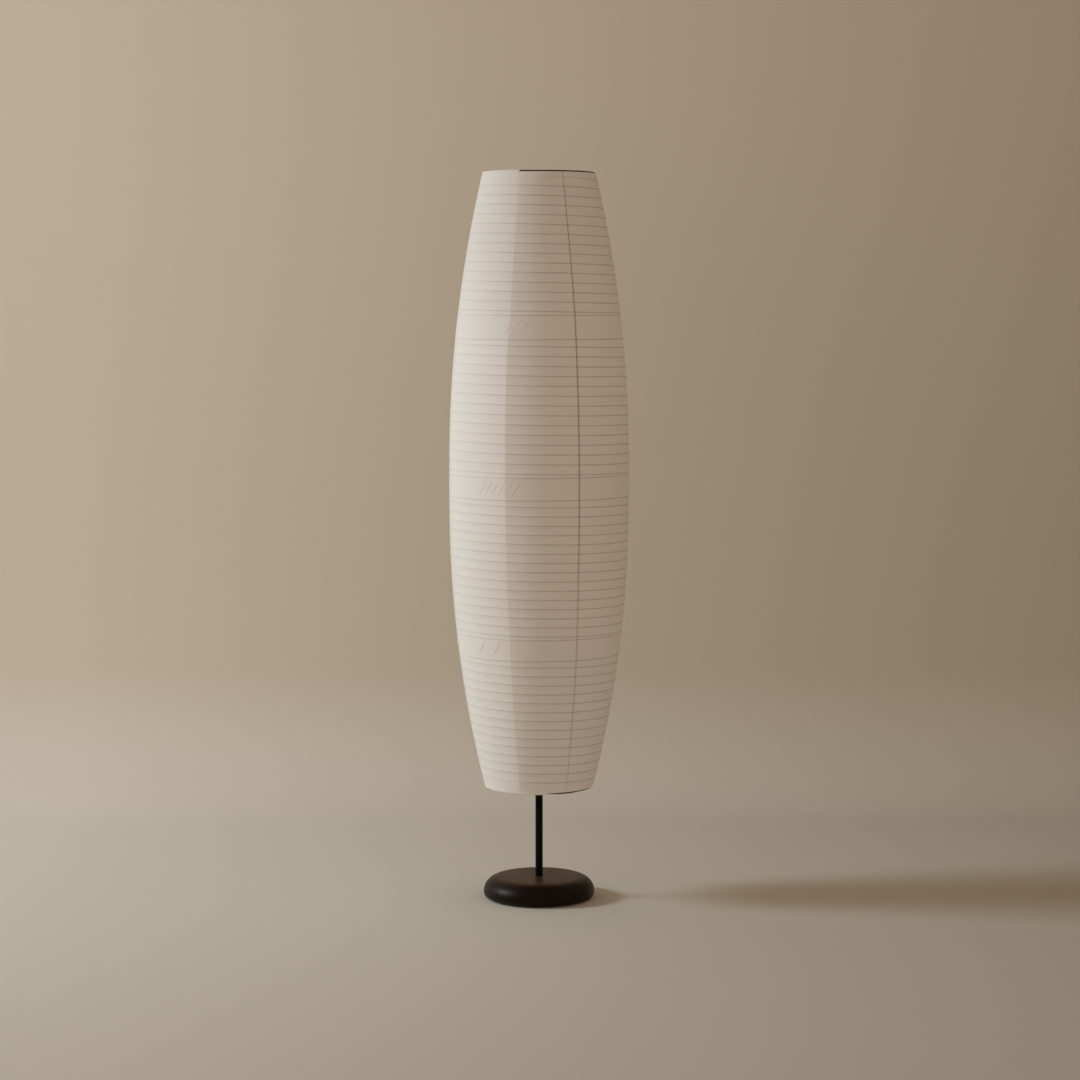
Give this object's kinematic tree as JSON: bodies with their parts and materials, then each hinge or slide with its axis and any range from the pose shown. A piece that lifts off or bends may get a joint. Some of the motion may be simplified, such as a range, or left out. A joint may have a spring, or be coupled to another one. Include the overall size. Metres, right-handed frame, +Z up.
{
  "type": "paper floor lamp",
  "caption": "Free-standing floor lamp with a tall paper barrel shade over wire coils, a thin black pole and a low round weighted base.",
  "frame": {"origin": "on the floor, at the centre of the base", "axes": "+Z up along the pole, -Y towards the viewer of the front, cord gland at +Y"},
  "size_m": [0.288, 0.2878, 1.17],
  "materials": {
    "shade_paper": "matt white paper",
    "rib_wire": "thin coated wire",
    "frame_black": "satin black paint",
    "pole_black": "satin black paint",
    "base_brown": "satin dark brown paint",
    "weight_iron": "as cast",
    "plate_steel": "matt dark paint",
    "bright_steel": "zinc plated",
    "pad_felt": "dark felt",
    "black_rubber": "soft rubber",
    "finial_brass": "turned brass",
    "contact_brass": "sprung brass",
    "holder_black": "moulded plastic",
    "holder_ceramic": "unglazed ceramic",
    "bulb_white": "moulded plastic",
    "bulb_opal": "opal diffuser"
  },
  "bodies": {
    "stand": {"paper_shade": "shade_paper", "rib_coil_1": "rib_wire", "rib_coil_2": "rib_wire", "rib_coil_3": "rib_wire", "rib_coil_4": "rib_wire", "top_spider": "frame_black", "lower_spider": "frame_black", "harp": "frame_black", "harp_saddle": "frame_black", "lower_pole": "pole_black", "upper_pole": "pole_black", "base_cover": "base_brown", "base_weight": "weight_iron", "base_plate": "plate_steel", "base_screws": "bright_steel", "base_washer": "bright_steel", "base_nut": "bright_steel", "grub_screw": "bright_steel", "base_nipple": "bright_steel", "pole_joiner": "bright_steel", "top_nipple": "bright_steel", "foot_pads": "pad_felt", "cord_gland": "black_rubber", "arm_tips": "black_rubber", "lampholder_cap": "holder_black", "lampholder_shell": "holder_black", "lampholder_insert": "holder_ceramic", "centre_contact": "contact_brass"},
    "bottom_ring": {"bottom_ring": "frame_black"},
    "bulb": {"bulb_cap": "bright_steel", "bulb_housing": "bulb_white", "bulb_globe": "bulb_opal"},
    "finial": {"finial": "finial_brass"}
  },
  "joints": [
    {"name": "shade_collapse", "type": "slide", "parent": "stand", "child": "bottom_ring", "axis": [0, 0, 1], "range_m": [0, 0.85], "deforming": ["paper_shade", "rib_coil_1", "rib_coil_2", "rib_coil_3", "rib_coil_4"]},
    {"name": "bulb_turn", "type": "hinge", "parent": "stand", "child": "bulb", "pos_m": [0, 0, 0.65], "axis": [0, 0, 1], "continuous": true},
    {"name": "finial_turn", "type": "hinge", "parent": "stand", "child": "finial", "pos_m": [0, 0, 1.15], "axis": [0, 0, 1], "continuous": true}
  ]
}
